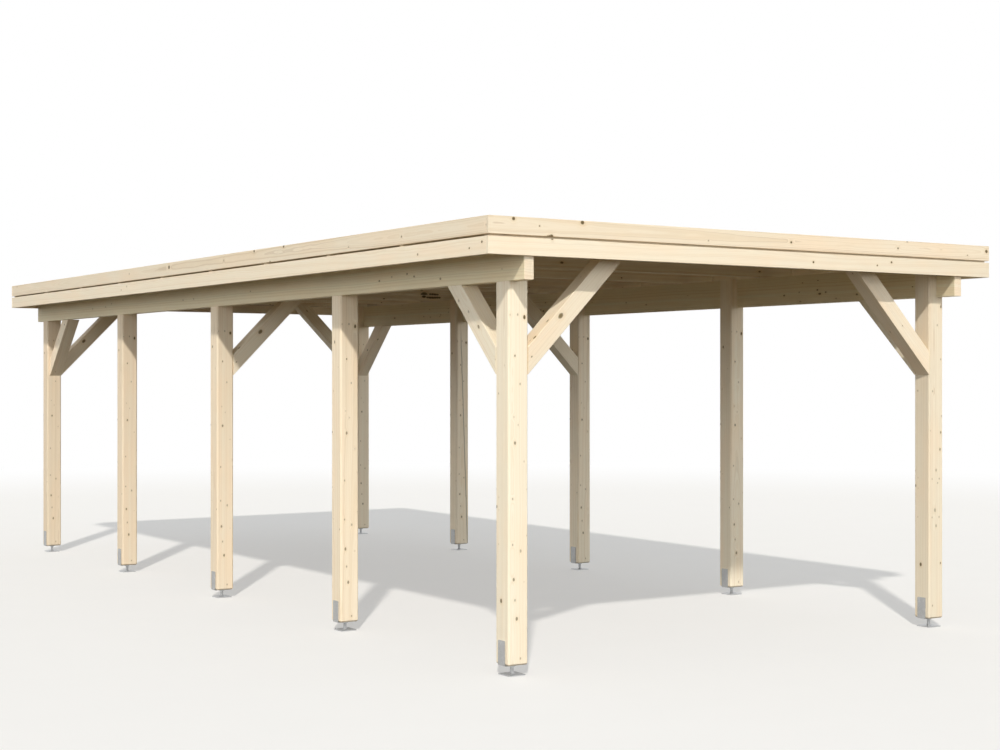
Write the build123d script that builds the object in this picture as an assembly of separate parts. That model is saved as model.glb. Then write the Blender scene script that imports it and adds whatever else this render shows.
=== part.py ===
from build123d import *
import math
import os

# A freestanding flat-roofed timber carport, in millimetres.
# +Z is up, -Y is the entrance side, and the origin is on the ground under the middle of the roof.
# Ten square posts in two rows carry two long beams, the rafters lie across the beams, and boards,
# a thin sheet and a two-board fascia close the roof. Each post stands on a steel foot.

# Posts
POST = 120.0                # side of a square post
POST_ROWS = 5               # posts in each of the two rows
ROW_SPACING = 1800.0        # from one row to the next, centre to centre
FRAME_WIDTH = 3150.0        # over the outer faces of the two rows of posts

# Steel feet
BASE_PLATE = 104.0          # side of the square plate on the ground
BASE_PLATE_T = 5.0
ANCHOR_SPACING = 74.0       # between the anchor holes in a plate
ANCHOR_HOLE_D = 11.0
ROD_D = 20.0
ROD_CLEAR = 45.0            # rod that shows between the plate and the shoe
NUT_SIZE = 30.0             # across the flats of the nut under the shoe
NUT_H = 8.0
SHOE_T = 4.0                # steel of the U-shaped shoe
SHOE_DEPTH = 62.0           # the shoe's size along the row
SHOE_HEIGHT = 125.0         # cheek above the underside of the post

# Beams and roof
BEAM_UNDERSIDE = 1991.0     # clear height under the beams
BEAM_H = 194.0
BEAM_T = 58.0
RAFTER_W = 45.0
RAFTER_H = 93.0
RAFTERS = 10                # evenly spaced, the outermost two behind the end fascias
ROOF_BOARD_T = 18.0
ROOF_SHEET_T = 2.0

# Fascia
SIDE_OVERHANG = 224.0       # from the posts' outer faces to the fascia's face
END_OVERHANG = 160.0        # from the end posts' outer faces to the fascia's face
FASCIA_T = 19.0
FASCIA_BOARD_H = 89.0
FASCIA_GAP = 11.0           # open gap between the upper and the lower board

# Braces, a little slimmer than the posts. The cross braces are flush with the posts' front faces
BRACE = 100.0               # side of the square brace
BRACE_FOOT = 1521.0         # height where a brace's lower edge leaves its post
BRACE_ANGLE = 45.0          # from the level
CROSS_BRACE_ROWS = (1, 3, 5)
LONG_BRACE_ROWS = (1, 5)
OUTER_LONG_BRACES = (("left", 1),)     # flush with the post's outer face, the others with its inner

# Worked out from the sizes above
POST_BOTTOM = BASE_PLATE_T + ROD_CLEAR + SHOE_T
POST_X = (FRAME_WIDTH - POST) / 2
FRAME_LENGTH = (POST_ROWS - 1) * ROW_SPACING + POST
BEAM_TOP = BEAM_UNDERSIDE + BEAM_H
RAFTER_TOP = BEAM_TOP + RAFTER_H
BOARDS_TOP = RAFTER_TOP + ROOF_BOARD_T
ROOF_TOP = BOARDS_TOP + ROOF_SHEET_T
ROOF_WIDTH = FRAME_WIDTH + 2 * SIDE_OVERHANG
ROOF_LENGTH = FRAME_LENGTH + 2 * END_OVERHANG
INNER_WIDTH = ROOF_WIDTH - 2 * FASCIA_T
INNER_LENGTH = ROOF_LENGTH - 2 * FASCIA_T
SIDES = {"left": -1, "right": 1}


def block(x0, x1, y0, y1, z0, z1):
    """A box between two corners, given in either order."""
    low = [min(pair) for pair in ((x0, x1), (y0, y1), (z0, z1))]
    high = [max(pair) for pair in ((x0, x1), (y0, y1), (z0, z1))]
    size = [b - a for a, b in zip(low, high)]
    return Pos(*low) * Box(*size, align=(Align.MIN, Align.MIN, Align.MIN))


def row_y(row):
    """Middle of a row of posts, with row 1 at the entrance."""
    return (row - (POST_ROWS + 1) / 2) * ROW_SPACING


def post(side, row):
    """Square post, its outer top corner cut away so that the beam lies flush in it."""
    outer = side * FRAME_WIDTH / 2
    y0 = row_y(row) - POST / 2
    y1 = row_y(row) + POST / 2
    shaft = block(outer, outer - side * POST, y0, y1, POST_BOTTOM, BEAM_TOP)
    rebate = block(outer, outer - side * BEAM_T, y0, y1, BEAM_UNDERSIDE, BEAM_TOP)
    return shaft - rebate


def foot():
    """Steel foot about the post's axis: base plate, rod, nut and a shoe with two cheeks."""
    plate = Pos(0, 0, BASE_PLATE_T / 2) * Box(BASE_PLATE, BASE_PLATE, BASE_PLATE_T)
    for place in GridLocations(ANCHOR_SPACING, ANCHOR_SPACING, 2, 2):
        plate -= place * Cylinder(ANCHOR_HOLE_D / 2, 3 * BASE_PLATE_T)
    shoe_z = BASE_PLATE_T + ROD_CLEAR
    rod = Pos(0, 0, BASE_PLATE_T) * Cylinder(
        ROD_D / 2, ROD_CLEAR, align=(Align.CENTER, Align.CENTER, Align.MIN))
    nut = Pos(0, 0, shoe_z - NUT_H) * extrude(
        RegularPolygon(NUT_SIZE / 2, 6, major_radius=False), NUT_H)
    outer = POST / 2 + SHOE_T
    shoe = block(-outer, outer, -SHOE_DEPTH / 2, SHOE_DEPTH / 2, shoe_z, POST_BOTTOM + SHOE_HEIGHT)
    shoe -= block(-POST / 2, POST / 2, -SHOE_DEPTH, SHOE_DEPTH, POST_BOTTOM, BEAM_TOP)
    return plate + rod + nut + shoe


def brace_profile(top):
    """Side view of a brace that leaves its post at u = 0 and is cut level at the given height."""
    slope = math.radians(BRACE_ANGLE)
    upper_foot = BRACE_FOOT + BRACE / math.cos(slope)
    low_run = (top - BRACE_FOOT) / math.tan(slope)
    high_run = (top - upper_foot) / math.tan(slope)
    return [(0, BRACE_FOOT), (low_run, top), (high_run, top), (0, upper_foot)]


def cross_brace(side, row):
    """Brace across the roof, from a post's inner face up to the tie over its row."""
    face = side * (FRAME_WIDTH / 2 - POST)
    points = [(face - side * u, z) for u, z in brace_profile(BEAM_TOP)]
    flush_y = row_y(row) - POST / 2
    outline = Plane.XZ.offset(-flush_y) * make_face(Polyline(*points, close=True))
    return extrude(outline, BRACE, dir=(0, 1, 0))


def long_brace(side, row, flush):
    """Brace along the row, from a corner post's face up to the underside of the beam.

    Braces wider than their post would meet beside it, so the corner is cut from this one.
    """
    inward = 1 if row == 1 else -1
    face = row_y(row) + inward * POST / 2
    points = [(face + inward * u, z) for u, z in brace_profile(BEAM_UNDERSIDE)]
    flush_x = side * POST_X + flush * POST / 2
    outline = Plane.YZ.offset(flush_x) * make_face(Polyline(*points, close=True))
    inner_face = side * (FRAME_WIDTH / 2 - POST)
    cross_y = row_y(row) - POST / 2
    corner = block(
        inner_face, inner_face - side * BRACE, cross_y, cross_y + BRACE, BRACE_FOOT, BEAM_TOP)
    return extrude(outline, BRACE, dir=(-flush, 0, 0)) - corner


def beam(side):
    """Long beam in the posts' rebates, from fascia to fascia."""
    outer = side * FRAME_WIDTH / 2
    half = INNER_LENGTH / 2
    return block(outer, outer - side * BEAM_T, -half, half, BEAM_UNDERSIDE, BEAM_TOP)


def rafters():
    """Rafters across the beams, and between them a tie over each pair of cross braces."""
    end = (INNER_LENGTH - RAFTER_W) / 2
    step = 2 * end / (RAFTERS - 1)
    timbers = [(INNER_WIDTH / 2, i * step - end) for i in range(RAFTERS)]
    timbers += [(FRAME_WIDTH / 2, row_y(row)) for row in CROSS_BRACE_ROWS]
    return Compound([
        block(-half, half, y - RAFTER_W / 2, y + RAFTER_W / 2, BEAM_TOP, RAFTER_TOP)
        for half, y in timbers])


def roof_layer(z0, z1):
    """A layer that fills the roof inside the fascia."""
    return block(-INNER_WIDTH / 2, INNER_WIDTH / 2, -INNER_LENGTH / 2, INNER_LENGTH / 2, z0, z1)


def fascia_heights():
    """Low and high edge of the upper and the lower fascia board."""
    upper = (ROOF_TOP - FASCIA_BOARD_H, ROOF_TOP)
    lower_top = upper[0] - FASCIA_GAP
    return {"upper": upper, "lower": (lower_top - FASCIA_BOARD_H, lower_top)}


def end_fascia(end, z0, z1):
    """Fascia board across the front or the rear, over the ends of the side boards."""
    face = end * ROOF_LENGTH / 2
    half = ROOF_WIDTH / 2
    return block(-half, half, face, face - end * FASCIA_T, z0, z1)


def side_fascia(side, z0, z1):
    """Fascia board along one side, between the front and the rear boards."""
    face = side * ROOF_WIDTH / 2
    half = INNER_LENGTH / 2
    return block(face, face - side * FASCIA_T, -half, half, z0, z1)


def all_parts():
    """Every piece of the carport by its name."""
    parts = {}
    for name, side in SIDES.items():
        for row in range(1, POST_ROWS + 1):
            parts[f"{name}_post_{row}"] = post(side, row)
            parts[f"{name}_foot_{row}"] = Pos(side * POST_X, row_y(row), 0) * foot()
        parts[f"{name}_beam"] = beam(side)
        for row in CROSS_BRACE_ROWS:
            parts[f"{name}_cross_brace_{row}"] = cross_brace(side, row)
        for row in LONG_BRACE_ROWS:
            flush = side if (name, row) in OUTER_LONG_BRACES else -side
            parts[f"{name}_long_brace_{row}"] = long_brace(side, row, flush)
    parts["rafters"] = rafters()
    parts["roof_boards"] = roof_layer(RAFTER_TOP, BOARDS_TOP)
    parts["roof_sheet"] = roof_layer(BOARDS_TOP, ROOF_TOP)
    for level, (z0, z1) in fascia_heights().items():
        parts[f"front_fascia_{level}"] = end_fascia(-1, z0, z1)
        parts[f"rear_fascia_{level}"] = end_fascia(1, z0, z1)
        for name, side in SIDES.items():
            parts[f"{name}_fascia_{level}"] = side_fascia(side, z0, z1)
    return parts


os.makedirs("parts", exist_ok=True)
for node, shape in all_parts().items():
    export_step(shape, f"parts/{node}.step")
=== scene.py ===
import bmesh
import bpy
import math
import random
from mathutils import Matrix, Vector


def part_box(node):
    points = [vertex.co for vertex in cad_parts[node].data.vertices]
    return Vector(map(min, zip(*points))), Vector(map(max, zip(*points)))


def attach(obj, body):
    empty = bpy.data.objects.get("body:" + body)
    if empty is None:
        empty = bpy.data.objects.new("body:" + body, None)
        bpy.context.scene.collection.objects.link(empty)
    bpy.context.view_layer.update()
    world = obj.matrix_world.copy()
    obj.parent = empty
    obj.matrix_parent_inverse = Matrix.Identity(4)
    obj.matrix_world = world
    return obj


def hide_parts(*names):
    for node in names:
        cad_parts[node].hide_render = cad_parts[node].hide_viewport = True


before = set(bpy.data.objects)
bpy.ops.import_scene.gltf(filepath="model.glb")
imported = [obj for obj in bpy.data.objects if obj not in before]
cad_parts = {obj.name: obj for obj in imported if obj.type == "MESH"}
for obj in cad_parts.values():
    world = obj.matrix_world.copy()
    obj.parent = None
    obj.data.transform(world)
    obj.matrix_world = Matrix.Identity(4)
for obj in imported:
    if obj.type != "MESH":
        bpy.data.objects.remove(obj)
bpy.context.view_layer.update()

# ---------------------------------------------------------------- shader helpers


class Wire:
    """A shader socket that works in Python sums."""

    def __init__(self, finish, socket):
        self.finish, self.socket = finish, socket

    def maths(self, operation, *values):
        return self.finish.add(
            "ShaderNodeMath", {"operation": operation}, dict(enumerate(values)))

    def __add__(self, other):
        return self.maths("ADD", self, other)

    def __radd__(self, other):
        return self.maths("ADD", other, self)

    def __sub__(self, other):
        return self.maths("SUBTRACT", self, other)

    def __rsub__(self, other):
        return self.maths("SUBTRACT", other, self)

    def __mul__(self, other):
        return self.maths("MULTIPLY", self, other)

    def __rmul__(self, other):
        return self.maths("MULTIPLY", other, self)

    def __truediv__(self, other):
        return self.maths("DIVIDE", self, other)

    def __pow__(self, other):
        return self.maths("POWER", self, other)

    def __lt__(self, other):
        return self.maths("LESS_THAN", self, other)

    def most(self, other):
        return self.maths("MAXIMUM", self, other)

    def least(self, other):
        return self.maths("MINIMUM", self, other)

    def size(self):
        return self.maths("ABSOLUTE", self)

    def floor(self):
        return self.maths("FLOOR", self)

    def fraction(self):
        return self.maths("FRACT", self)

    def fading(self, start, end):
        """1 below start, falling smoothly to 0 at end."""
        return self.ramp(start, end, 1.0, 0.0)

    def rising(self, start, end):
        """0 below start, rising smoothly to 1 at end."""
        return self.ramp(start, end, 0.0, 1.0)

    def ramp(self, start, end, low, high):
        return self.finish.add(
            "ShaderNodeMapRange", {"interpolation_type": "SMOOTHSTEP"},
            {0: self, 1: start, 2: end, 3: low, 4: high})


class Finish:
    """The nodes of a material or a world, and the few calls that its patterns need."""

    def __init__(self, owner):
        self.owner = owner
        owner.use_nodes = True
        self.tree = owner.node_tree
        self.tree.nodes.clear()

    def add(self, kind, settings=None, sockets=None, out=0):
        """Adds a node: its settings first, then the values or links of its sockets."""
        node = self.tree.nodes.new(kind)
        for key, value in (settings or {}).items():
            setattr(node, key, value)
        for key, value in (sockets or {}).items():
            if isinstance(value, Wire):
                self.tree.links.new(value.socket, node.inputs[key])
            else:
                node.inputs[key].default_value = value
        if isinstance(out, tuple):
            return [Wire(self, node.outputs[key]) for key in out]
        return Wire(self, node.outputs[out])

    def attribute(self, name, out="Vector"):
        return self.add("ShaderNodeAttribute", {"attribute_name": name}, out=out)

    def place(self):
        return self.add("ShaderNodeTexCoord", out="Object")

    def split(self, vector):
        return self.add("ShaderNodeSeparateXYZ", sockets={0: vector}, out=(0, 1, 2))

    def vector(self, x, y, z=0.0):
        return self.add("ShaderNodeCombineXYZ", sockets={0: x, 1: y, 2: z})

    def noise(self, at, scale=1.0, detail=2.0, rough=0.5):
        return self.add(
            "ShaderNodeTexNoise", {"noise_dimensions": "3D"},
            {"Vector": at, "Scale": scale, "Detail": detail, "Roughness": rough})

    def noise_line(self, at, scale, detail=1.0):
        return self.add(
            "ShaderNodeTexNoise", {"noise_dimensions": "1D"},
            {"W": at, "Scale": scale, "Detail": detail})

    def blend(self, share, first, second):
        """Colour between two colours."""
        return self.add(
            "ShaderNodeMix", {"data_type": "RGBA", "clamp_factor": True},
            {0: share, 6: first, 7: second}, out=2)

    def scaled(self, colour, factor):
        """Colour made lighter or darker by a factor."""
        colour = colour if isinstance(colour, Wire) else colour[:3]
        return self.add("ShaderNodeVectorMath", {"operation": "SCALE"}, {0: colour, 3: factor})

    def bump(self, height, depth):
        return self.add(
            "ShaderNodeBump", sockets={"Height": height, "Distance": depth, "Strength": 1.0})

    def seen(self):
        """1 for what the camera or a reflection sees, 0 for the light that falls on the object."""
        camera, glossy, clear = self.add(
            "ShaderNodeLightPath", out=("Is Camera Ray", "Is Glossy Ray", "Is Transmission Ray"))
        return camera.most(glossy).most(clear)

    def surface(self, sockets):
        return self.output(self.add("ShaderNodeBsdfPrincipled", sockets=sockets))

    def output(self, shader, kind="ShaderNodeOutputMaterial"):
        self.add(kind, sockets={0: shader}, out=())
        return self.owner


def new_finish(name):
    return Finish(bpy.data.materials.new(name))


def tint(red, green, blue):
    return (red, green, blue, 1.0)


# ---------------------------------------------------------------- places

# A timber is made lying along X, and these turns lay it along each axis
LIES_ALONG = {
    "X": Matrix(((1, 0, 0), (0, 1, 0), (0, 0, 1))),
    "Y": Matrix(((0, 0, 1), (1, 0, 0), (0, 1, 0))),
    "Z": Matrix(((0, 1, 0), (0, 0, 1), (1, 0, 0))),
}


def straight(low, high, along):
    """Where a straight timber lies: its half sizes and its place."""
    turn = LIES_ALONG[along]
    size = turn.transposed() @ (Vector(high) - Vector(low))
    place = Matrix.Translation((Vector(low) + Vector(high)) / 2) @ turn.to_4x4()
    return size / 2, place


# ---------------------------------------------------------------- finishes

SPRUCE_LIGHT = tint(0.890, 0.808, 0.650)
SPRUCE_LATE = tint(0.775, 0.628, 0.432)
SPRUCE_LINE = tint(0.560, 0.410, 0.260)
SPRUCE_WARM = tint(0.900, 0.745, 0.560)
SPRUCE_PALE = tint(0.905, 0.840, 0.700)
KNOT_DARK = tint(0.082, 0.055, 0.018)
KNOT_BROWN = tint(0.290, 0.205, 0.080)
KNOT_HALO = tint(0.745, 0.575, 0.350)
# Knots at set places have one of four shades: from a darkness, to a darkness, and the shade
KNOT_SHADES = ((0.0, 0.35, 0.06), (0.35, 0.55, 0.28), (0.55, 0.80, 0.60), (0.80, 1.01, 1.0))
KNOT_CELL = (0.165, 0.078)              # room of one strewn knot, along and round a timber
KNOT_LEAST, KNOT_MORE = 0.0020, 0.0042  # radius of the smallest, and what the largest adds
NO_KNOT = 60.0                          # distance in radii where a cell has no knot
YEAR = 0.0034                           # width of a growth ring
TONE_STEP = 0.060                       # what one unit of a timber's lightness does
WOOD_RELIEF = 0.00035


def strewn_knots(f, run, girth, strewn, seed, share, size):
    """Knots strewn over the sides, one at most to a cell.

    Gives the distance from the nearest one in radii, its darkness, and its tails.
    """
    cell = f.vector(run / KNOT_CELL[0] + seed * 13.7, girth / KNOT_CELL[1] + seed * 7.1)
    _, dice, middle = f.add(
        "ShaderNodeTexVoronoi", {"voronoi_dimensions": "2D", "feature": "F1"},
        {"Vector": cell, "Scale": 1.0, "Randomness": 0.85}, out=(0, 1, 2))
    away = f.add("ShaderNodeVectorMath", {"operation": "SUBTRACT"}, {0: cell, 1: middle})
    off_run, off_girth, _ = f.split(away)
    there, dark, large = f.split(dice)
    there = there.fading(share - 0.01, share + 0.01) * strewn
    off_run = off_run * KNOT_CELL[0]
    off_girth = off_girth * KNOT_CELL[1]
    radius = (KNOT_LEAST + KNOT_MORE * large * large) * size
    reach = ((off_run * 0.5) ** 2 + off_girth ** 2) ** 0.5
    reach = reach / radius + (1 - there) * NO_KNOT
    dark = dark.rising(0.15, 0.95) * 0.85 + 0.15
    tail = (off_girth / (radius * 1.5)).size().fading(0.0, 1.6) * (
        off_run / (radius * 16.0)).size().fading(0.0, 1.0) * there
    return reach, dark, tail


def set_knots(f, sides, marks, length, reach, dark):
    """Adds knots at set places to the strewn ones, one shade after the other."""
    for palest, darkest, shade in KNOT_SHADES:
        nearest = None
        for run, girth, width, darkness in marks:
            if not palest <= darkness < darkest:
                continue
            size = (2 / width / length, 2 / width, 0.0)
            spot = f.add(
                "ShaderNodeVectorMath", {"operation": "MULTIPLY_ADD"},
                {0: sides, 1: size, 2: (-run * size[0], -girth * size[1], 0.0)})
            spot = f.add("ShaderNodeVectorMath", {"operation": "LENGTH"}, {0: spot}, out=1)
            nearest = nearest.least(spot) if nearest else spot
        if nearest:
            nearer = nearest < reach
            dark = dark * (1 - nearer) + nearer * shade
            reach = reach.least(nearest)
    return reach, dark


def drying_split(f, ends, run, girth, side):
    """Crack between two places on the sides, wavering a little and closing at the upper end."""
    (low_run, low_girth, width, deep), (high_run, high_girth, _, _) = ends
    slope = (high_girth - low_girth) / (high_run - low_run)
    waver = f.noise_line(run, scale=9.0, detail=2.0)
    off_split = girth - low_girth - (run - low_run) * slope + (waver - 0.5) * 0.006
    opened = (off_split / width).size().fading(0.2, 1.0) * side
    return opened * run.fading(high_run - 0.25, high_run) * deep


def spruce(name, marks=(), knot_share=0.45, knot_size=1.0, knot_length=1.5, streaks=1.0,
           lines=0.30, shine=0.25, eye=0.0, shade_tint=None, split=None):
    """Planed spruce. marks are knots at set places: (along, round, width, darkness), in metres.

    eye brings out the brown rings of a large knot. shade_tint is a painted tint of shade light,
    multiplied into the sides. split is a pair of such places, the two ends of a drying split.
    """
    f = new_finish(name)
    along, across, through = f.split(f.attribute("grain"))
    sides = f.attribute("sides")
    run, girth, strewn = f.split(sides)
    tone, warmth, seed = f.split(f.attribute("timber"))
    end = f.attribute("end", out="Fac")

    reach, dark, tail = strewn_knots(f, run, girth, strewn, seed, knot_share, knot_size)
    reach, dark = set_knots(f, sides, marks, knot_length, reach, dark)

    # The parts of a knot, and none of them on a timber's ends
    side = 1 - end
    wobble = f.noise(f.vector(along * 90.0, across * 160.0, through * 160.0), detail=1.0)
    edge = reach + (wobble - 0.5) * 0.5
    core = edge.fading(0.70, 1.05) * side
    rim = edge.fading(0.85, 1.30) * side
    halo = reach.fading(1.1, 3.0) * side
    tail = tail * side

    # Growth rings round the heart, drawn apart where a knot grows through them
    slow = f.noise(f.vector(along * 0.8, across * 5.0, through * 5.0), detail=1.0)
    quick = f.noise(f.vector(along * 6.0, across * 22.0, through * 22.0), detail=2.0)
    heart = (across ** 2 + through ** 2) ** 0.5
    swell = reach.fading(0.4, 5.5) * 0.0032
    ring_at = heart + along * 0.004 + (slow - 0.5) * 0.024 + (quick - 0.5) * 0.0046 + swell
    years = ring_at / YEAR
    year = years.floor()
    part = years.fraction()
    strength = f.add("ShaderNodeTexWhiteNoise", {"noise_dimensions": "1D"}, {"W": year})
    late = part.rising(0.35, 0.88) * part.fading(0.93, 1.0)
    ring = late * (0.35 + 0.65 * strength)
    band = f.noise_line(ring_at, scale=95.0, detail=2.0)
    line = f.noise_line(ring_at + 7.0, scale=230.0, detail=1.0)
    sweep = f.noise_line(ring_at + 3.0, scale=28.0, detail=1.0)

    # Fibres, streaks and slow changes of colour
    fibre = f.noise(f.vector(along * 16.0, across * 950.0, through * 950.0), detail=2.0, rough=0.6)
    streak = f.noise(f.vector(along * 1.6, across * 85.0, through * 85.0), detail=2.0)
    patch = f.noise(f.vector(along * 2.3, across * 9.0, through * 9.0), detail=2.0)

    colour = f.blend(patch.rising(0.40, 0.75) * 0.6 + warmth * 0.6, SPRUCE_LIGHT, SPRUCE_WARM)
    colour = f.blend(band.rising(0.50, 0.75) * 0.55 * streaks, colour, SPRUCE_LATE)
    colour = f.blend(sweep.rising(0.50, 0.80) * 0.40 * streaks, colour, SPRUCE_PALE)
    colour = f.blend(ring * 0.44, colour, SPRUCE_LATE)
    colour = f.blend(line.rising(0.60, 0.70) * lines, colour, SPRUCE_LINE)
    colour = f.blend(streak.rising(0.55, 0.80) * 0.30 * streaks, colour, SPRUCE_LATE)
    colour = f.blend(tail * 0.35, colour, KNOT_HALO)
    colour = f.blend(halo * (0.10 + 0.30 * dark), colour, KNOT_HALO)
    colour = f.blend(rim * (0.12 + 0.84 * dark), colour, KNOT_DARK)
    knot_ring = (reach * 4.0 + wobble * 2.0).fraction().rising(0.2, 0.8)
    knot_wood = f.blend(knot_ring * 0.45 + reach.fading(0.1, 0.8) * 0.4, KNOT_BROWN, KNOT_DARK)
    colour = f.blend(core * (0.10 + eye + 0.38 * dark), colour, knot_wood)
    if split:
        colour = f.blend(drying_split(f, split, run, girth, side), colour, KNOT_DARK)
    light = 1.0 + tone * TONE_STEP + (fibre - 0.5) * 0.10 - end * 0.03 + (patch - 0.5) * 0.06
    colour = f.scaled(colour, light)
    # Painted shade: the sides are tinted to the olive colour of the bounced light in their shade
    if shade_tint:
        shade_toned = f.add("ShaderNodeVectorMath", {"operation": "MULTIPLY"}, {0: colour, 1: shade_tint})
        colour = f.blend(side, colour, shade_toned)

    height = ring * 0.35 + fibre * 0.30 + rim * 0.5 - core * 0.25
    rough = 0.66 - ring * 0.10 - rim * 0.16 + (fibre - 0.5) * 0.16 + end * 0.12
    return f.surface({
        "Base Color": colour, "Roughness": rough, "Specular IOR Level": shine,
        "Normal": f.bump(height, WOOD_RELIEF)})


ZINC_STAIN = tint(0.80, 0.81, 0.80)
ZINC_RELIEF = 0.00008


def steel(name, colour, dull, cloud):
    """Zinc-coated steel with a faint crystal pattern. dull is its roughness, cloud the contrast."""
    f = new_finish(name)
    at = f.place()
    warp = f.noise(at, scale=160.0, detail=2.0)
    warped = f.add(
        "ShaderNodeVectorMath", {"operation": "MULTIPLY_ADD"},
        {0: f.vector(warp, warp, warp), 1: (0.004,) * 3, 2: at})
    crystal = f.add(
        "ShaderNodeTexVoronoi", {"voronoi_dimensions": "3D", "feature": "F1"},
        {"Vector": warped, "Scale": 130.0, "Randomness": 1.0}, out=1)
    shade, grain, _ = f.split(crystal)
    fog = f.noise(at, scale=26.0, detail=3.0)
    fine = f.noise(at, scale=1900.0, detail=2.0)
    base = f.scaled(colour, 1.0 + (shade - 0.5) * cloud + (fog - 0.5) * 0.16)
    stain = f.blend(fog.rising(0.56, 0.78) * 0.35, base, ZINC_STAIN)
    return f.surface({
        "Base Color": stain, "Metallic": 0.85,
        "Roughness": dull + (grain - 0.5) * 0.16 + (fine - 0.5) * 0.10,
        "Normal": f.bump(fine * 0.5 + shade * 0.5, ZINC_RELIEF)})


FELT_DARK = tint(0.060, 0.062, 0.066)
FELT_GRIT = tint(0.165, 0.168, 0.172)
FELT_WORN = tint(0.135, 0.130, 0.122)
FELT_RELIEF = 0.0009


def membrane(name):
    """Dark mineral roofing felt, its strips told apart by a faint difference in tone."""
    f = new_finish(name)
    at = f.place()
    strip = f.attribute("strip", out="Fac")
    grit = f.add(
        "ShaderNodeTexVoronoi", {"voronoi_dimensions": "3D", "feature": "F1"},
        {"Vector": at, "Scale": 520.0, "Randomness": 1.0}, out=1)
    speck, lift, _ = f.split(grit)
    fog = f.noise(at, scale=2.2, detail=4.0, rough=0.6)
    worn = f.noise(at, scale=14.0, detail=3.0)
    base = f.blend(speck.rising(0.55, 0.95) * 0.55, FELT_DARK, FELT_GRIT)
    base = f.blend(worn.rising(0.52, 0.78) * 0.25, base, FELT_WORN)
    light = 1.0 + (fog - 0.5) * 0.45 + (strip - 0.5) * 0.26
    return f.surface({
        "Base Color": f.scaled(base, light), "Roughness": 0.88 + (lift - 0.5) * 0.14,
        "Specular IOR Level": 0.3, "Normal": f.bump(lift, FELT_RELIEF)})


WHITE = tint(1.0, 1.0, 1.0)
FLOOR_PALE = tint(0.86, 0.855, 0.845)
FLOOR_BOUNCE = tint(0.116, 0.093, 0.060)
FLOOR_FADE = (9.0, 17.0)        # metres from the middle over which the floor turns white


def groundwork(name):
    """Pale studio floor that keeps shadows and meets a white background.

    Only a dark floor's light is thrown back onto the object.
    """
    f = new_finish(name)
    seen = f.seen()
    at = f.place()
    x, y, _ = f.split(at)
    mottle = f.noise(at, scale=2.5, detail=3.0)
    far = (x ** 2 + y ** 2) ** 0.5
    plain = f.scaled(FLOOR_PALE, 1.0 + (mottle - 0.5) * 0.02)
    matt = f.add("ShaderNodeBsdfDiffuse", sockets={0: plain})
    glow = f.add("ShaderNodeEmission", sockets={0: WHITE, 1: 1.0})
    whiter = far.rising(*FLOOR_FADE) * 0.70 + 0.30
    shown = f.add("ShaderNodeMixShader", sockets={0: whiter, 1: matt, 2: glow})
    bounce = f.add("ShaderNodeBsdfDiffuse", sockets={0: FLOOR_BOUNCE})
    return f.output(f.add("ShaderNodeMixShader", sockets={0: seen, 1: bounce, 2: shown}))


# ---------------------------------------------------------------- timbers

TINY = 1e-6
BOARD_SOFT, BRACE_SOFT, POST_SOFT = 0.0006, 0.0008, 0.0009   # radius of the other sharp edges


def block(size):
    """A block round the origin."""
    bm = bmesh.new()
    bmesh.ops.create_cube(bm, size=1.0)
    bmesh.ops.scale(bm, vec=size, verts=bm.verts)
    return bm


def soften(bm, width, edges=None, segments=2):
    """Rounds or chamfers the given edges, or all that stick out by 25 degrees or more."""
    if edges is None:
        edges = [e for e in bm.edges if len(e.link_faces) == 2
                 and e.calc_face_angle_signed() > math.radians(25)]
    bmesh.ops.bevel(
        bm, geom=edges, offset=width, segments=segments, profile=0.5, affect="EDGES",
        material=-1)


def arrises(bm, half):
    """Edges that run lengthwise along the four corners of a block."""
    return [e for e in bm.edges if all(
        abs(abs(v.co.y) - half[1]) < TINY and abs(abs(v.co.z) - half[2]) < TINY for v in e.verts)
        and abs(e.verts[0].co.x - e.verts[1].co.x) > 100 * TINY]


def cut(bm, at, outward):
    """Cuts away what lies beyond a plane, and closes the cut."""
    made = bmesh.ops.bisect_plane(
        bm, geom=bm.verts[:] + bm.edges[:] + bm.faces[:], plane_co=at, plane_no=outward,
        clear_outer=True, dist=TINY)
    rim = [g for g in made["geom_cut"] if isinstance(g, bmesh.types.BMEdge)]
    bmesh.ops.contextual_create(bm, geom=rim)


def round_at(p, half):
    """Place of a point on the way round the four sides of a timber that lies along X."""
    hy, hz = half[1], half[2]
    if abs(p.y) / hy >= abs(p.z) / hz:
        return p.z + hz if p.y > 0 else 3 * hz + 2 * hy - p.z
    return 2 * hz + hy - p.y if p.z > 0 else 4 * hz + 3 * hy + p.y


def mark_grain(bm, half, heart, dice, wood, bare, drift=0.0):
    """Gives a timber that lies along X its own coordinates: from its heart, and round its sides.

    wood is its lightness and warmth. bare are the ways that the sides face which take no strewn
    knots. drift darkens it along X.
    """
    grain = bm.verts.layers.float_vector.new("grain")
    timber = bm.verts.layers.float_vector.new("timber")
    sides = bm.loops.layers.float_vector.new("sides")
    end = bm.faces.layers.float.new("end")
    shift = dice.uniform(0.0, 40.0)
    seed = dice.uniform(0.0, 9.0)
    girth = 4 * (half[1] + half[2])
    for v in bm.verts:
        v[grain] = Vector((v.co.x + shift, v.co.y - heart[0], v.co.z - heart[1]))
        share = (v.co.x / half[0] + 1) / 2
        v[timber] = Vector((wood[0] - drift * share, wood[1], seed))

    bm.normal_update()
    for face in bm.faces:
        face[end] = 1.0 if abs(face.normal.x) > 0.9 else 0.0
        strewn = 0.0 if any(face.normal.dot(way) > 0.6 for way in bare) else 1.0
        places = [round_at(loop.vert.co, half) for loop in face.loops]
        wraps = max(places) - min(places) > girth / 2
        for loop, place in zip(face.loops, places):
            if wraps and place < girth / 2:
                place += girth
            loop[sides] = Vector((loop.vert.co.x + half[0], place, strewn))


def any_wood(dice, spread=1.0):
    """Lightness and warmth of one timber."""
    return dice.uniform(-spread, spread), dice.uniform(-0.6, 0.8)


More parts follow.
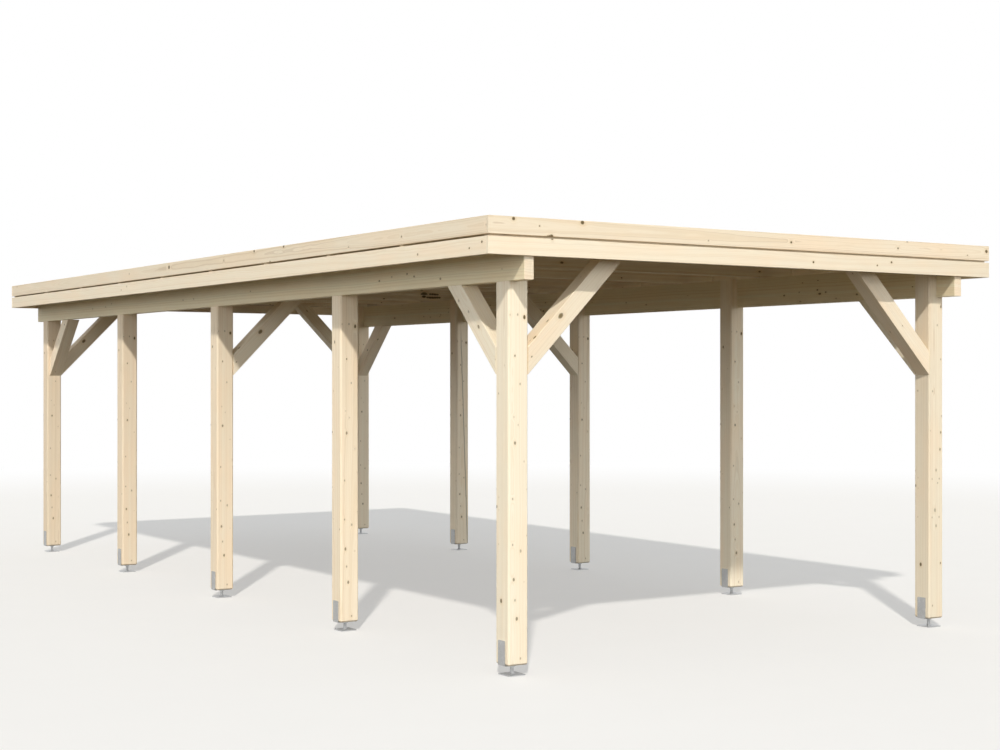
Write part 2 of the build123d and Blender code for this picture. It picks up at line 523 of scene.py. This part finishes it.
def plank(low, high, along, heart, dice, wood=None, ease=0.0, chamfer=0.0, bare=(), drift=0.0):
    """A straight timber with its edges eased, or with a chamfer on the two lower long edges."""
    half, place = straight(low, high, along)
    back = place.to_3x3().transposed()
    bm = block(half * 2)
    if chamfer:
        down = back @ Vector((0, 0, -1))
        lower = [e for e in arrises(bm, half) if e.verts[0].co.dot(down) > 0]
        soften(bm, chamfer, lower, segments=1)
        soften(bm, BOARD_SOFT)
    else:
        soften(bm, ease, segments=3)
    mark_grain(bm, half, heart, dice, wood or any_wood(dice),
               [back @ Vector(way) for way in bare], drift)
    bm.transform(place)
    return bm


def piece(name, parts, finishes, node):
    """Joins parts into one piece that takes the place of a CAD node."""
    whole = bmesh.new()
    for part in parts:
        mesh = bpy.data.meshes.new("part")
        part.to_mesh(mesh)
        part.free()
        whole.from_mesh(mesh)
        bpy.data.meshes.remove(mesh)
    mesh = bpy.data.meshes.new(name)
    whole.to_mesh(mesh)
    whole.free()
    for finish in finishes:
        mesh.materials.append(finish)
    made = bpy.data.objects.new(name, mesh)
    bpy.context.scene.collection.objects.link(made)
    mesh.shade_smooth()
    weighted = made.modifiers.new("flat_faces", "WEIGHTED_NORMAL")
    weighted.keep_sharp = True
    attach(made, "root")
    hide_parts(node)


SIDES = {"left": -1, "right": 1}
ROWS = range(1, 6)
CROSS_BRACE_ROWS, LONG_BRACE_ROWS = (1, 3, 5), (1, 5)
POST_CHAMFER = 0.0082
BEAM_EASE, BRACE_EASE = 0.0028, 0.003

# Ways that a face looks, with the entrance at the front
FRONT, LEFT, RIGHT, UP = (0, -1, 0), (-1, 0, 0), (1, 0, 0), (0, 0, 1)


def on_face(node, along, way, aside, knots):
    """Knots on the face of a straight timber that looks the given way.

    Each has its place in mm, along from the low end and aside from the face's edge, its width in
    mm and its darkness from 0 to 1.
    """
    half, place = straight(*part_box(node), along)
    back = place.to_3x3().transposed()
    out, over = back @ Vector(way), back @ Vector(aside)
    marks = []
    for run, offset, width, darkness in knots:
        spot = Vector((0, 0, 0))
        for axis in (1, 2):
            spot[axis] = out[axis] * half[axis] + over[axis] * (offset / 1000 - half[axis])
        marks.append((run / 1000, round_at(spot, half), width / 1000, darkness))
    return marks


post_front_knots = on_face("left_post_1", "Z", FRONT, RIGHT, (
    (1767, 9, 8, .3), (1769, 55, 8, .35), (1756, 96, 13, .9), (1561, 39, 8, .6),
    (1419, 70, 8, .4), (1253, 33, 7, .2), (1213, 58, 7, .3), (1122, 39, 11, .6),
    (1028, 94, 7, .3), (887, 112, 7, .3), (841, 25, 8, .5), (653, 111, 6, .25),
    (610, 25, 8, .5), (577, 73, 10, .4), (435, 31, 11, .7), (420, 94, 5, .2),
    (331, 39, 9, .5), (237, 50, 12, .75), (35, 72, 8, .4)))
corner_front_knots = on_face("right_post_1", "Z", FRONT, RIGHT, (
    (1879, 100, 12, .7), (1767, 69, 8, .45), (1561, 99, 8, .5), (1369, 30, 9, .45),
    (1219, 106, 7, .5), (1132, 12, 7, .3), (1120, 99, 10, .6), (1018, 93, 11, .6),
    (893, 59, 11, .4), (841, 86, 8, .5), (841, 25, 6, .4), (816, 73, 8, .35),
    (653, 49, 15, .5), (610, 85, 8, .5), (610, 25, 6, .4), (558, 59, 12, .45),
    (331, 97, 9, .6), (79, 28, 8, .5)))
post_left_knots = on_face("left_post_1", "Z", LEFT, FRONT, (
    (1663, 41, 12, .7), (1513, 87, 6, .2), (1371, 29, 7, .2), (1126, 10, 9, .6),
    (797, 12, 9, .3), (782, 32, 5, .2), (608, 29, 6, .2), (552, 106, 8, .35)))
corner_left_knots = on_face("left_post_1", "Z", LEFT, FRONT, (
    (1513, 87, 6, .2), (1371, 29, 7, .36), (887, 7, 6, .36), (845, 31, 6, .3),
    (797, 12, 10, .6), (782, 32, 5, .25), (608, 29, 6, .3), (323, 52, 14, .9)))
POST_GRAIN = {"knot_size": 0.75, "streaks": 0.6, "lines": 0.25}
post_spruce = spruce("post_spruce", post_front_knots + post_left_knots, **POST_GRAIN)
left_corner_spruce = spruce(
    "left_corner_spruce", post_front_knots + corner_left_knots, **POST_GRAIN)
right_corner_spruce = spruce(
    "right_corner_spruce", corner_front_knots + corner_left_knots, **POST_GRAIN)
right_post_4_split = on_face(
    "right_post_4", "Z", FRONT, RIGHT, ((0, 110, 7, .55), (1940, 38, 7, .55)))
split_spruce = spruce(
    "split_spruce", post_front_knots + post_left_knots, split=right_post_4_split, **POST_GRAIN)

# On the braces the places are in metres, along and round the timber
left_cross_knots = (
    (0.555, 0.229, 0.023, .62), (0.367, 0.188, 0.013, .95), (0.279, 0.251, 0.008, .4))
left_long_knots = (
    (0.488, 0.0615, 0.015, .6), (0.614, 0.050, 0.011, .45), (0.726, 0.023, 0.012, .45),
    (0.253, 0.054, 0.008, .3))
BRACE_GRAIN = {"streaks": 0.7, "lines": 0.16}
brace_spruce = spruce("brace_spruce", knot_share=0.34, knot_size=0.9, **BRACE_GRAIN)
left_cross_spruce = spruce("left_cross_spruce", left_cross_knots, eye=0.45, **BRACE_GRAIN)
left_long_spruce = spruce("left_long_spruce", left_long_knots, **BRACE_GRAIN)

left_beam_knots = on_face("left_beam", "Y", LEFT, UP, (
    (1473, 63, 11, .6), (1329, 79, 9, .4), (1158, 87, 10, .6), (1081, 69, 10, .6),
    (802, 43, 11, .7), (201, 63, 8, .3), (3206, 79, 10, .4), (4341, 64, 11, .4),
    (4149, 66, 10, .4), (5780, 92, 10, .45), (5914, 71, 10, .5), (6210, 66, 11, .4)))
# The beams' sides take a painted olive tint for the warm bounced light in their shade
beam_spruce = spruce(
    "beam_spruce", left_beam_knots, knot_share=0.30, streaks=1.2, shade_tint=(0.965, 1.0, 0.92))

ROOF_GRAIN = {"knot_share": 0.30, "knot_size": 1.1, "shine": 0.08}
roof_spruce = spruce("roof_spruce", **ROOF_GRAIN)
# Two neighbouring rafters have a dark knot with a tail. They are counted from 0 at the entrance
KNOTTY_RAFTERS = {
    6: ((2.609, 0.224, 0.030, .95), (2.668, 0.223, 0.014, .90), (2.690, 0.223, 0.015, .90),
        (2.712, 0.224, 0.015, .90), (2.734, 0.224, 0.013, .85)),
    7: ((3.103, 0.197, 0.020, .95), (3.140, 0.203, 0.014, .85), (3.165, 0.204, 0.017, .90),
        (3.190, 0.204, 0.017, .90), (3.215, 0.203, 0.016, .90), (3.240, 0.202, 0.015, .90),
        (3.262, 0.202, 0.012, .85))}
rafter_finishes = [roof_spruce] + [
    spruce(f"rafter_spruce_{number}", knots, knot_length=2.0, **ROOF_GRAIN)
    for number, knots in KNOTTY_RAFTERS.items()]

front_upper_knots = on_face("front_fascia_upper", "X", FRONT, UP, (
    (148, 78, 15, .9), (303, 49, 8, .6), (566, 80, 18, .9),
    (375, 0, 19, .95), (363, 0, 13, .95), (352, 0, 8, .9),
    (1394, 25, 9, .36), (1987, 42, 12, .85), (2820, 44, 12, .7), (2896, 87, 13, .4),
    (3179, 54, 7, .3), (3407, 27, 9, .45), (3574, 57, 18, .95)))
front_lower_knots = on_face("front_fascia_lower", "X", FRONT, UP, (
    (380, 89, 10, .95), (2154, 39, 11, .85), (2652, 39, 9, .85), (2767, 61, 11, .95)))
left_upper_knots = on_face("left_fascia_upper", "Y", LEFT, UP, (
    (2666, 80, 15, .85), (2248, 84, 16, .9), (1423, 25, 9, .36), (829, 42, 11, .7),
    (2437, -1, 13, .8), (4048, 57, 23, .95), (4805, 50, 11, .4), (3125, 50, 11, .4),
    (7470, 77, 12, .4), (-3, 42, 11, .6)))
left_lower_knots = on_face("left_fascia_lower", "Y", LEFT, UP, (
    (660, 37, 11, .7), (155, 37, 9, .8), (39, 61, 11, .9), (4856, 61, 13, .45),
    (4969, 40, 11, .4), (2437, 90, 9, .7)))
UPPER_GRAIN = {"streaks": 0.75, "lines": 0.55, "knot_length": 1.1}
FAINT_UPPER_GRAIN = {**UPPER_GRAIN, "lines": 0.35}
LOWER_GRAIN = {"streaks": 0.4, "lines": 0.12, "knot_length": 1.1}
fascia_spruce = {
    "front_upper": spruce("front_upper_spruce", front_upper_knots, **UPPER_GRAIN),
    "front_lower": spruce("front_lower_spruce", front_lower_knots, **LOWER_GRAIN),
    "left_upper": spruce("left_upper_spruce", left_upper_knots, **FAINT_UPPER_GRAIN),
    "left_lower": spruce("left_lower_spruce", left_lower_knots, **LOWER_GRAIN),
    "other_upper": spruce(
        "other_upper_spruce", knot_share=0.20, knot_size=1.3, **UPPER_GRAIN),
    "other_lower": spruce(
        "other_lower_spruce", knot_share=0.12, knot_size=1.1, **LOWER_GRAIN)}

shoe_steel = steel("galvanised_shoe", tint(0.475, 0.480, 0.482), 0.50, 0.10)
rod_steel = steel("zinc_plated_rod", tint(0.56, 0.57, 0.58), 0.42, 0.05)
felt = membrane("roofing_felt")

beam_low, beam_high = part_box("left_beam")
BEAM_UNDER, BEAM_TOP = beam_low.z, beam_high.z
BEAM_T = beam_high.x - beam_low.x


def heart_at(away, turn):
    """Where the heart of a timber lies, off its own middle."""
    return away * math.cos(turn), away * math.sin(turn)


def post(name, side, wood, dice):
    """Post with chamfered arrises and a tongue beside the beam."""
    low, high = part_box(name)
    half, place = straight(low, high, "Z")
    shaft = (BEAM_UNDER - low.z) / 2
    bm = block((shaft * 2, half.y * 2, half.z * 2))
    bmesh.ops.translate(bm, vec=(shaft - half.x, 0, 0), verts=bm.verts)
    rebate = side * (half.y - BEAM_T)
    bmesh.ops.bisect_plane(
        bm, geom=bm.verts[:] + bm.edges[:] + bm.faces[:], plane_co=(0, rebate, 0),
        plane_no=(0, 1, 0), dist=TINY)
    tongue = [f for f in bm.faces if f.normal.x > 0.9
              and (f.calc_center_median().y - rebate) * side < 0]
    raised = bmesh.ops.extrude_face_region(bm, geom=tongue)["geom"]
    bmesh.ops.translate(
        bm, vec=(2 * (half.x - shaft), 0, 0),
        verts=[g for g in raised if isinstance(g, bmesh.types.BMVert)])
    bmesh.ops.dissolve_limit(bm, angle_limit=0.01, verts=bm.verts, edges=bm.edges)
    foot_edges = [e for e in bm.edges if all(abs(v.co.x + half.x) < TINY for v in e.verts)]
    soften(bm, POST_CHAMFER, arrises(bm, half) + foot_edges, segments=1)
    soften(bm, POST_SOFT)
    turn = dice.uniform(0, 2 * math.pi)
    away = dice.uniform(0.030, 0.085)
    back = place.to_3x3().transposed()
    mark_grain(bm, half, heart_at(away, turn), dice, wood,
               [back @ Vector(way) for way in (FRONT, LEFT)])
    bm.transform(place)
    return bm


def brace(name, post_name, axis, rise_to, dice, bare):
    """Square brace that climbs at 45 degrees from a post, cut upright below and level above."""
    low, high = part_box(name)
    width = (high - low)[1 - axis]
    post_low, post_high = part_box(post_name)
    middle = (low + high) / 2
    inward = 1.0 if middle[axis] > ((post_low + post_high) / 2)[axis] else -1.0
    face = low[axis] if inward > 0 else high[axis]
    level = Vector((0, 0, 0))
    level[axis] = inward
    along = (level + Vector((0, 0, 1))).normalized()
    up = (Vector((0, 0, 1)) - level).normalized()
    start = middle.copy()
    start[axis], start.z = face, low.z
    run = (high.z - low.z) * math.sqrt(2)
    length = run + 4 * width
    centre = start + along * (run / 2) + up * (width / 2)
    side = up.cross(along)
    place = Matrix.Translation(centre) @ Matrix((along, side, up)).transposed().to_4x4()
    back = place.inverted()
    half = Vector((length / 2, width / 2, width / 2))
    bm = block(half * 2)
    soften(bm, BRACE_EASE, arrises(bm, half), segments=3)
    cut(bm, back @ start, back.to_3x3() @ -level)
    start.z = rise_to
    cut(bm, back @ start, back.to_3x3() @ Vector((0, 0, 1)))
    soften(bm, BRACE_SOFT)
    away = dice.uniform(0.03, 0.07)
    turn = dice.uniform(0, 2 * math.pi)
    mark_grain(bm, half, heart_at(away, turn), dice, any_wood(dice, 0.6),
               [back.to_3x3() @ Vector(way) for way in bare])
    bm.transform(place)
    return bm


# Lightness and warmth of each post's wood, from the entrance to the rear
POST_WOOD = {
    "left": ((1.0, -0.2), (0.9, 0.8), (0.0, 1.0), (-0.7, 1.3), (-1.6, 1.3)),
    "right": ((-0.8, 0.2), (0.5, 0.1), (0.3, 0.2), (0.0, 0.5), (0.0, 0.5))}
BEAM_WOOD, BEAM_DRIFT, BEAM_HEART = (0.0, 0.9), 2.2, (0.17, 0.01)
POST_SEED = {"left": 100, "right": 105}
BEAM_SEED = {"left": 199, "right": 201}
# Kind, axis that a brace climbs along, rows, height of its level cut, and first seed
BRACES = (
    ("cross", 0, CROSS_BRACE_ROWS, BEAM_TOP, 300),
    ("long", 1, LONG_BRACE_ROWS, BEAM_UNDER, 400))
POST_FINISH = {
    "left_post_1": left_corner_spruce, "right_post_1": right_corner_spruce,
    "right_post_4": split_spruce}

for side_name, side in SIDES.items():
    for row, looks in zip(ROWS, POST_WOOD[side_name]):
        name = f"{side_name}_post_{row}"
        timber = post(name, side, looks, random.Random(POST_SEED[side_name] + row))
        wood = POST_FINISH.get(name, post_spruce)
        piece(f"{name}_timber", [timber], [wood], name)
    name = f"{side_name}_beam"
    low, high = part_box(name)
    timber = plank(low, high, "Y", BEAM_HEART, random.Random(BEAM_SEED[side_name]), BEAM_WOOD,
                   ease=BEAM_EASE, bare=(LEFT,) if side < 0 else (), drift=BEAM_DRIFT)
    piece(f"{name}_timber", [timber], [beam_spruce], name)
    for kind, axis, rows, top, seed in BRACES:
        for row in rows:
            name = f"{side_name}_{kind}_brace_{row}"
            wood, bare = brace_spruce, ()
            if side < 0 and kind == "cross":
                wood, bare = left_cross_spruce, (FRONT,)
            elif side < 0 and row == 1:
                wood, bare = left_long_spruce, (LEFT,)
            dice = random.Random(seed + row * 7 + side)
            timber = brace(name, f"{side_name}_post_{row}", axis, top, dice, bare)
            piece(f"{name}_timber", [timber], [wood], name)

# ---------------------------------------------------------------- roof

RAFTER_W, RAFTER_COUNT, RAFTER_EASE = 0.045, 10, 0.002
END_RAFTER_SHADE = (-5.0, 0.6)   # painted shade: the two behind the end fascias are 30 % darker, for the dark groove
BOARDS = 38
BOARD_JOINT, BOARD_CHAMFER = 0.0008, 0.0026
JOINT_RAFTERS = (3, 5, 4, 6)    # the rafters over which a board, the next one and so on are joined
FELT_TONES = (0.15, 0.75, 0.40, 0.95, 0.05, 0.60, 0.25, 0.85)   # one for each strip
FELT_LAP, FELT_THICK = 0.09, 0.0012


def rafter(half, y, heart, dice, wood=None):
    """Timber across the beams, or a tie between the cross braces."""
    return plank((-half, y - RAFTER_W / 2, rafter_low.z), (half, y + RAFTER_W / 2, rafter_high.z),
                 "X", heart, dice, wood, ease=RAFTER_EASE)


rafter_low, rafter_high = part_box("rafters")
rafter_step = (rafter_high.y - rafter_low.y - RAFTER_W) / (RAFTER_COUNT - 1)
RAFTER_Y = [rafter_low.y + RAFTER_W / 2 + i * rafter_step for i in range(RAFTER_COUNT)]
dice = random.Random(5)
parts = []
for y in RAFTER_Y:
    heart = (dice.uniform(-0.02, 0.02), dice.choice((-1, 1)) * dice.uniform(0.05, 0.12))
    # The outermost rafters are darkened as painted shade seen through the fascia groove
    wood = END_RAFTER_SHADE if y in (RAFTER_Y[0], RAFTER_Y[-1]) else any_wood(dice)
    parts.append(rafter(rafter_high.x, y, heart, dice, wood))
for index, number in enumerate(KNOTTY_RAFTERS, 1):
    for face in parts[number].faces:
        face.material_index = index
for row in CROSS_BRACE_ROWS:
    post_low, post_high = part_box(f"left_post_{row}")
    heart = (dice.uniform(-0.02, 0.02), dice.uniform(0.05, 0.12))
    parts.append(rafter(-beam_low.x, (post_low.y + post_high.y) / 2, heart, dice))
piece("rafter_timbers", parts, rafter_finishes, "rafters")

low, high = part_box("roof_boards")
cover = (high.x - low.x) / BOARDS
dice = random.Random(6)
parts = []
for i in range(BOARDS):
    left = low.x + i * cover + (BOARD_JOINT / 2 if i else 0)
    right = low.x + (i + 1) * cover - (BOARD_JOINT / 2 if i < BOARDS - 1 else 0)
    joint = RAFTER_Y[JOINT_RAFTERS[i % len(JOINT_RAFTERS)]]
    heart = (dice.uniform(0.03, 0.09) * dice.choice((-1, 1)), dice.uniform(-0.05, 0.05))
    for y0, y1 in ((low.y, joint - BOARD_JOINT / 2), (joint + BOARD_JOINT / 2, high.y)):
        parts.append(plank(
            (left, y0, low.z), (right, y1, high.z), "Y", heart, dice, chamfer=BOARD_CHAMFER))
piece("roof_board_timbers", parts, [roof_spruce], "roof_boards")

# Each strip of felt lies in one plane, and its lap lies on the strip before
low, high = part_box("roof_sheet")
pitch = (high.y - low.y) / len(FELT_TONES)
parts = []
for i, tone in enumerate(FELT_TONES):
    y0, y1 = low.y + i * pitch, low.y + (i + 1) * pitch
    spans = [(y0, y1, low.z, low.z + FELT_THICK)]
    if i:
        spans.append((y0, y0 + FELT_LAP, low.z + FELT_THICK, high.z))
    for front, rear, z0, z1 in spans:
        bm = block((high.x - low.x, rear - front, z1 - z0))
        bmesh.ops.translate(
            bm, vec=((low.x + high.x) / 2, (front + rear) / 2, (z0 + z1) / 2), verts=bm.verts)
        strip = bm.faces.layers.float.new("strip")
        for face in bm.faces:
            face[strip] = tone
        parts.append(bm)
piece("roof_felt", parts, [felt], "roof_sheet")

# Each side's run, the way that it faces along the other axis, and its seed
FASCIAS = {
    "front": ("X", -1, 304), "rear": ("X", 1, 275), "left": ("Y", -1, 273), "right": ("Y", 1, 306)}
# How far behind its face and above its middle a board's heart lies, and what is added to the seed
FASCIA_HEART = {"upper": (0.045, 0.006, 9), "lower": (0.10, 0.05, 0)}
# Lightness and warmth of a board, and how much it darkens along its length
FASCIA_WOOD = {
    "upper": ((0.2, 0.45), 2.4), "lower": ((0.6, 0.25), 2.0),
    "front_upper": ((-0.6, 0.70), 0.2), "left_upper": ((-0.6, 0.45), 1.6)}
FASCIA_EASE = 0.0015

for end, (along, outward, seed) in FASCIAS.items():
    for level, (behind, above, more) in FASCIA_HEART.items():
        name = f"{end}_fascia_{level}"
        low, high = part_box(name)
        heart = (-outward * behind, above)
        if along == "Y":
            heart = heart[::-1]
        shown = {"front": (FRONT,), "left": (LEFT,)}.get(end, ())
        finish = fascia_spruce[f"{end if shown else 'other'}_{level}"]
        looks, drift = FASCIA_WOOD.get(f"{end}_{level}", FASCIA_WOOD[level])
        board = plank(low, high, along, heart, random.Random(seed + more), looks,
                      ease=FASCIA_EASE, bare=shown, drift=drift)
        piece(f"{name}_board", [board], [finish], name)

# ---------------------------------------------------------------- feet

PLATE_HALF, PLATE_T, PLATE_CORNER, PLATE_EASE = 0.052, 0.005, 0.007, 0.0006
HOLE_R, HOLE_SPACING, HOLE_SIDES = 0.0055, 0.074, 24
ROD_R, ROD_SIDES = 0.010, 28
WELD = ((0.0055, 0.0), (0.0040, 0.0012), (0.0018, 0.0035), (0.0003, 0.0055), (-0.0006, 0.0065))
THREAD_PITCH, THREAD_DEPTH, THREAD_START = 0.0025, 0.0010, 0.0075
NUT_FLATS, NUT_H, NUT_CORNER, NUT_EASE = 0.030, 0.008, 0.0024, 0.0003
SHOE_DEPTH, SHOE_BEND, SHOE_CORNER, SHOE_EASE = 0.062, 0.0055, 0.006, 0.0005
SCREW_R, SCREW_RISE, SCREW_SUNK, SCREW_SIDES = 0.0050, 0.0014, 0.0006, 12
RECESS_RIM, RECESS_MIDDLE = 0.0007, 0.0008      # depths of the recess in a screw head
# Screws in a shoe's cheek: (along the row, up from the post's lower end)
CHEEK_SCREWS = ((-0.016, 0.024), (0.016, 0.060), (-0.016, 0.102))


def lathe(profile, steps):
    """Turns a line of (radius, height) points round the upright axis."""
    bm = bmesh.new()
    line = [bm.verts.new((radius, 0, height)) for radius, height in profile]
    edges = [bm.edges.new(pair) for pair in zip(line, line[1:])]
    bmesh.ops.spin(bm, geom=line + edges, cent=(0, 0, 0), axis=(0, 0, 1),
                   angle=2 * math.pi, steps=steps, use_merge=True)
    bmesh.ops.remove_doubles(bm, verts=bm.verts, dist=TINY)
    bmesh.ops.recalc_face_normals(bm, faces=bm.faces)
    return bm


def base_plate():
    """A quarter of the plate with its hole, mirrored into the whole, with rounded corners."""
    bm = bmesh.new()
    bmesh.ops.create_circle(
        bm, cap_ends=False, segments=HOLE_SIDES, radius=HOLE_R,
        matrix=Matrix.Translation((HOLE_SPACING / 2, HOLE_SPACING / 2, 0)))
    ring = bm.edges[:]
    corner = PLATE_HALF - PLATE_CORNER
    turns = [i * math.pi / 8 for i in range(1, 4)]
    outline = [(0, 0), (PLATE_HALF, 0), (PLATE_HALF, corner)]
    outline += [(corner + PLATE_CORNER * math.cos(turn), corner + PLATE_CORNER * math.sin(turn))
                for turn in turns]
    outline += [(corner, PLATE_HALF), (0, PLATE_HALF)]
    line = [bm.verts.new((x, y, 0)) for x, y in outline]
    border = [bm.edges.new((line[i - 1], line[i])) for i in range(len(line))]
    bmesh.ops.bridge_loops(bm, edges=ring + border)
    for axis in "XY":
        bmesh.ops.mirror(
            bm, geom=bm.verts[:] + bm.edges[:] + bm.faces[:], merge_dist=TINY, axis=axis)
    bmesh.ops.remove_doubles(bm, verts=bm.verts, dist=TINY)
    bmesh.ops.recalc_face_normals(bm, faces=bm.faces)
    raised = bmesh.ops.extrude_face_region(bm, geom=bm.faces[:])["geom"]
    bmesh.ops.translate(bm, vec=(0, 0, PLATE_T),
                        verts=[g for g in raised if isinstance(g, bmesh.types.BMVert)])
    bmesh.ops.recalc_face_normals(bm, faces=bm.faces)
    rims = [e for e in bm.edges if len(e.link_faces) == 2
            and e.calc_face_angle() > math.radians(60)
            and abs(e.verts[0].co.z - e.verts[1].co.z) < TINY]
    soften(bm, PLATE_EASE, rims)
    return bm


def threaded_rod(z0, z1):
    """Rod with a flared weld at its foot and a thread above."""
    profile = [(0, z0)] + [(ROD_R + wider, z0 + up) for wider, up in WELD]
    turns = int((z1 - z0 - THREAD_START) / THREAD_PITCH) - 1
    for i in range(turns):
        z = z0 + THREAD_START + i * THREAD_PITCH
        profile += [(ROD_R - THREAD_DEPTH, z), (ROD_R, z + THREAD_PITCH * 0.42),
                    (ROD_R, z + THREAD_PITCH * 0.58)]
    profile += [(ROD_R - THREAD_DEPTH, z1), (0, z1)]
    return lathe(profile, ROD_SIDES)


def hex_nut(z0, z1):
    """Six-sided nut with its corners turned off."""
    bm = bmesh.new()
    across = NUT_FLATS / 2 / math.cos(math.pi / 6)
    bmesh.ops.create_cone(bm, cap_ends=True, segments=6, radius1=across, radius2=across,
                          depth=z1 - z0, matrix=Matrix.Translation((0, 0, (z0 + z1) / 2)))
    bmesh.ops.bevel(bm, geom=bm.verts[:], offset=NUT_CORNER, segments=1, profile=0.5,
                    affect="VERTICES", material=-1)
    soften(bm, NUT_EASE, segments=1)
    return bm


def shoe(post_half, thick, z0, z_bottom, z1):
    """U-shaped shoe folded from one strip: bent corners below, rounded corners on its cheeks."""
    bm = bmesh.new()
    outer = post_half + thick
    line = [bm.verts.new((x, -SHOE_DEPTH / 2, z)) for x, z in (
        (-outer, z1), (-outer, z0), (outer, z0), (outer, z1),
        (post_half, z1), (post_half, z_bottom), (-post_half, z_bottom), (-post_half, z1))]
    face = bm.faces.new(line)
    raised = bmesh.ops.extrude_face_region(bm, geom=[face], use_keep_orig=True)["geom"]
    bmesh.ops.translate(bm, vec=(0, SHOE_DEPTH, 0),
                        verts=[g for g in raised if isinstance(g, bmesh.types.BMVert)])
    bmesh.ops.recalc_face_normals(bm, faces=bm.faces)
    bends = [e for e in bm.edges if abs(e.verts[0].co.y - e.verts[1].co.y) > thick
             and all(abs(v.co.z - z0) < TINY for v in e.verts)]
    soften(bm, SHOE_BEND, bends, segments=5)
    tips = [e for e in bm.edges
            if thick * 0.9 < abs(e.verts[0].co.x - e.verts[1].co.x) < thick * 1.1
            and all(abs(v.co.z - z1) < TINY for v in e.verts)]
    soften(bm, SHOE_CORNER, tips, segments=4)
    soften(bm, SHOE_EASE)
    return bm


def screw_head():
    """Low screw head with a recess, its face towards +Z."""
    profile = (
        (0, -SCREW_SUNK), (SCREW_R, -SCREW_SUNK), (SCREW_R, SCREW_RISE * 0.35),
        (SCREW_R * 0.86, SCREW_RISE * 0.85), (SCREW_R * 0.55, SCREW_RISE),
        (SCREW_R * 0.30, SCREW_RISE), (SCREW_R * 0.27, SCREW_RISE - RECESS_RIM),
        (0, SCREW_RISE - RECESS_MIDDLE))
    return lathe(profile, SCREW_SIDES)


def foot(name):
    """Base plate, threaded rod, nut and shoe, and the screws in its cheeks."""
    low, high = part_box(name)
    post_low, post_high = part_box(name.replace("foot", "post"))
    mid = (post_low + post_high) / 2
    thick = post_low.x - low.x
    shoe_z = post_low.z - thick
    post_half = mid.x - post_low.x
    nut_z = shoe_z - NUT_H
    bright = [base_plate(), threaded_rod(PLATE_T, nut_z), hex_nut(nut_z, shoe_z)]
    dull = [shoe(post_half, thick, shoe_z, post_low.z, high.z)]
    for side in SIDES.values():
        for y, up in CHEEK_SCREWS:
            head = screw_head()
            head.transform(Matrix.Translation((side * (post_half + thick), y, post_low.z + up))
                           @ Matrix.Rotation(side * math.pi / 2, 4, "Y"))
            dull.append(head)
    for bm in bright:
        for face in bm.faces:
            face.material_index = 1
    for bm in bright + dull:
        bmesh.ops.translate(bm, vec=(mid.x, mid.y, 0), verts=bm.verts)
    return bright + dull


for side_name in SIDES:
    for row in ROWS:
        name = f"{side_name}_foot_{row}"
        piece(f"{name}_steel", foot(name), [shoe_steel, rod_steel], name)

# ---------------------------------------------------------------- floor

FLOOR_HALF, FLOOR_DROP = 60.0, 0.0002

floor_mesh = bpy.data.meshes.new("floor")
bm = bmesh.new()
bmesh.ops.create_grid(bm, x_segments=4, y_segments=4, size=FLOOR_HALF)
bmesh.ops.translate(bm, vec=(0, 0, -FLOOR_DROP), verts=bm.verts)
bm.to_mesh(floor_mesh)
bm.free()
floor_mesh.materials.append(groundwork("studio_floor"))
floor = bpy.data.objects.new("studio_floor", floor_mesh)
bpy.context.scene.collection.objects.link(floor)

# ---------------------------------------------------------------- light and camera

SUN_WAY = Vector((0.441, 0.623, -0.618))
SUN_POWER, SUN_SPREAD, SUN_COLOUR = 2.45, 2.0, (1.0, 0.955, 0.885)
SKY_COLOUR = tint(0.975, 0.995, 0.995)
HORIZON_LIGHT, ZENITH_LIGHT = 1.85, 0.30
SENSOR_WIDTH, LENS_LENGTH, LENS_SHIFT = 36.0, 60.345, 0.00235
CAMERA_PLACE = (-6.2143, -10.6779, 1.5065)
CAMERA_TURN = (90, 0, -33.176)

scene = bpy.context.scene
lamp = bpy.data.lights.new("sun", "SUN")
lamp.energy = SUN_POWER
lamp.angle = math.radians(SUN_SPREAD)
lamp.color = SUN_COLOUR
sun = bpy.data.objects.new("sun", lamp)
sun.rotation_mode = "QUATERNION"
sun.rotation_quaternion = SUN_WAY.to_track_quat("-Z", "Y")
scene.collection.objects.link(sun)

# The sky is brightest near the horizon, and shows as plain white behind the carport
studio = Finish(bpy.data.worlds.new("studio"))
rightward, rearward, height = studio.split(studio.add("ShaderNodeTexCoord", out="Generated"))
glow = ZENITH_LIGHT + (HORIZON_LIGHT - ZENITH_LIGHT) * height.fading(0.20, 0.60)
soft = studio.add("ShaderNodeBackground", sockets={
    0: SKY_COLOUR, 1: glow * (1.0 + 0.08 * rightward - 0.03 * rearward)})
white = studio.add("ShaderNodeBackground", sockets={0: WHITE, 1: 1.0})
shown = studio.add("ShaderNodeMixShader", sockets={0: studio.seen(), 1: soft, 2: white})
scene.world = studio.output(shown, "ShaderNodeOutputWorld")

lens = bpy.data.cameras.new("camera")
lens.sensor_width = SENSOR_WIDTH
lens.lens = LENS_LENGTH
lens.shift_y = LENS_SHIFT
camera = bpy.data.objects.new("camera", lens)
camera.location = CAMERA_PLACE
camera.rotation_euler = [math.radians(turn) for turn in CAMERA_TURN]
scene.collection.objects.link(camera)
scene.camera = camera
scene.view_settings.view_transform = "Standard"
